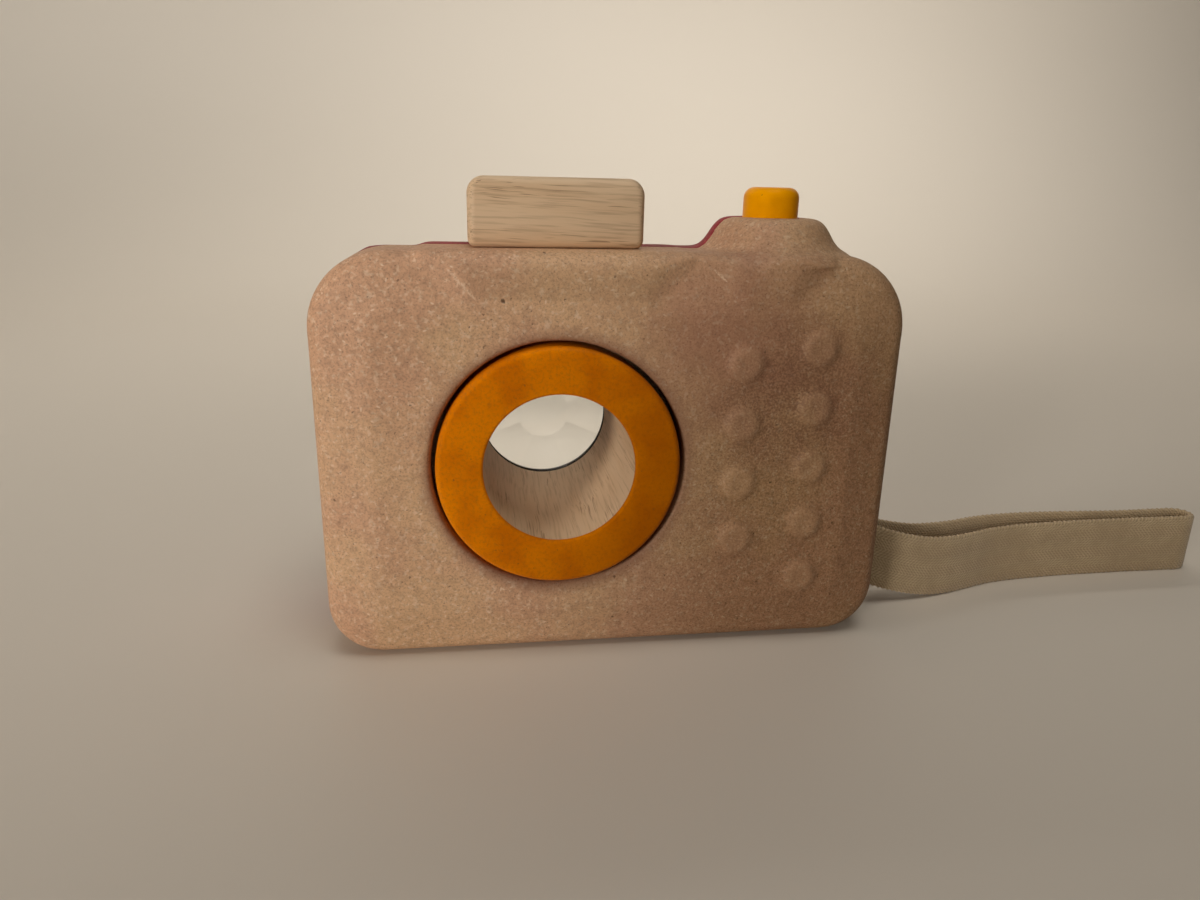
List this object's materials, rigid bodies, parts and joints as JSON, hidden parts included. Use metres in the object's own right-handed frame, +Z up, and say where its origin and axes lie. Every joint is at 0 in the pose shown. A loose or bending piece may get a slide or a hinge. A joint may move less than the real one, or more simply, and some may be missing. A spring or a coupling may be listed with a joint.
{
  "type": "toy camera",
  "caption": "Wooden toy camera with a tan front half, red back half, turning orange lens barrel to look through, sprung yellow shutter button, viewfinder block and cotton wrist strap.",
  "frame": {"origin": "on the table under the middle of the camera, without its strap", "axes": "+X to the right seen from the front, +Y from the lens ring to the back, +Z up"},
  "size_m": [0.2043, 0.044, 0.0896],
  "materials": {
    "tan_composite": "matt moulded wood composite with fine dark specks and pale flecks",
    "red_composite": "matt moulded wood composite, dyed red",
    "natural_wood": "sanded rubberwood with fine grain",
    "orange_wood": "turned wood, front ring painted orange, bore and tube left natural",
    "yellow_wood": "turned wood painted yellow, satin",
    "clear_lens": "clear moulded acrylic with tilted facets",
    "black_ring": "matt black",
    "grey_felt": "pressed felt",
    "spring_steel": "bright drawn wire",
    "cotton_tape": "undyed cotton tape with a fine weave"
  },
  "bodies": {
    "camera_body": {"front_shell": "tan_composite", "back_shell": "red_composite", "shell_dowels": "natural_wood", "viewfinder_block": "natural_wood", "viewfinder_dowels": "natural_wood", "barrel_felts": "grey_felt", "button_spring": "spring_steel", "strap_pin": "natural_wood", "wrist_strap": "cotton_tape"},
    "lens": {"lens_barrel": "orange_wood", "barrel_collar": "natural_wood", "prism_lens": "clear_lens", "lens_retainer": "black_ring"},
    "button": {"shutter_button": "yellow_wood"}
  },
  "joints": [
    {"name": "lens_turn", "type": "hinge", "parent": "camera_body", "child": "lens", "pos_m": [-0.0111, 0, 0.0386], "axis": [0, 1, 0], "continuous": true},
    {"name": "shutter_press", "type": "slide", "parent": "camera_body", "child": "button", "axis": [0, 0, -1], "range_m": [0, 0.0035], "stiffness_N_per_m": 300, "springref_m": -0.003, "deforming": ["button_spring"]}
  ]
}
